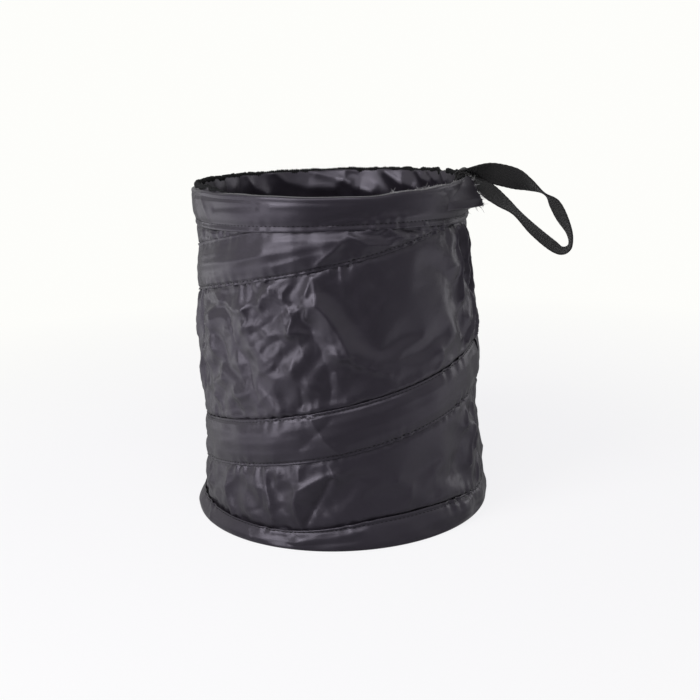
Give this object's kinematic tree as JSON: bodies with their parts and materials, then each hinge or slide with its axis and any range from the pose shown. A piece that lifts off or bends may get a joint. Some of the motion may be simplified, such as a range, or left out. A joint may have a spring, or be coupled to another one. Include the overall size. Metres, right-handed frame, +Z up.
{
  "type": "car trash bin",
  "caption": "Pop-up cloth bin for a car: a tube held open by wire hoops and a spiral wire in sewn casings, pressed flat for storage, hung by a webbing loop at the rim.",
  "frame": {"origin": "on the bin's axis, on the surface that it stands on", "axes": "+Z up along the axis of the bin, +X to the right as seen from the front, with the side seam and the webbing loop 15 degrees to the front of +X"},
  "size_m": [0.2233, 0.1782, 0.2041],
  "materials": {
    "panel_cloth": "thin black nylon with a soft sheen, crumpled",
    "band_cloth": "thin black nylon with a soft sheen, taut over the hoop",
    "casing_cloth": "thin black nylon with a soft sheen, gathered over the wire",
    "thread": "matte black overlock and stitching thread",
    "webbing": "matte black woven webbing",
    "spring_steel": "bright rolled spring wire",
    "sleeve_metal": "crimped sleeve"
  },
  "bodies": {
    "base": {"base_panel": "panel_cloth", "wall_panel": "panel_cloth", "bottom_band": "band_cloth", "bottom_hoop": "spring_steel", "bottom_hoop_sleeve": "sleeve_metal", "spiral_wire": "spring_steel", "lower_casing": "casing_cloth", "upper_casing": "casing_cloth"},
    "rim": {"top_band": "band_cloth", "top_hoop": "spring_steel", "top_hoop_sleeve": "sleeve_metal", "rim_edging": "thread", "strap": "webbing"}
  },
  "joints": [
    {"name": "collapse", "type": "slide", "parent": "base", "child": "rim", "axis": [0, 0, 1], "range_m": [-0.145, 0], "stiffness_N_per_m": 80, "springref_m": 0.02, "deforming": ["wall_panel", "lower_casing", "upper_casing", "spiral_wire"]}
  ]
}
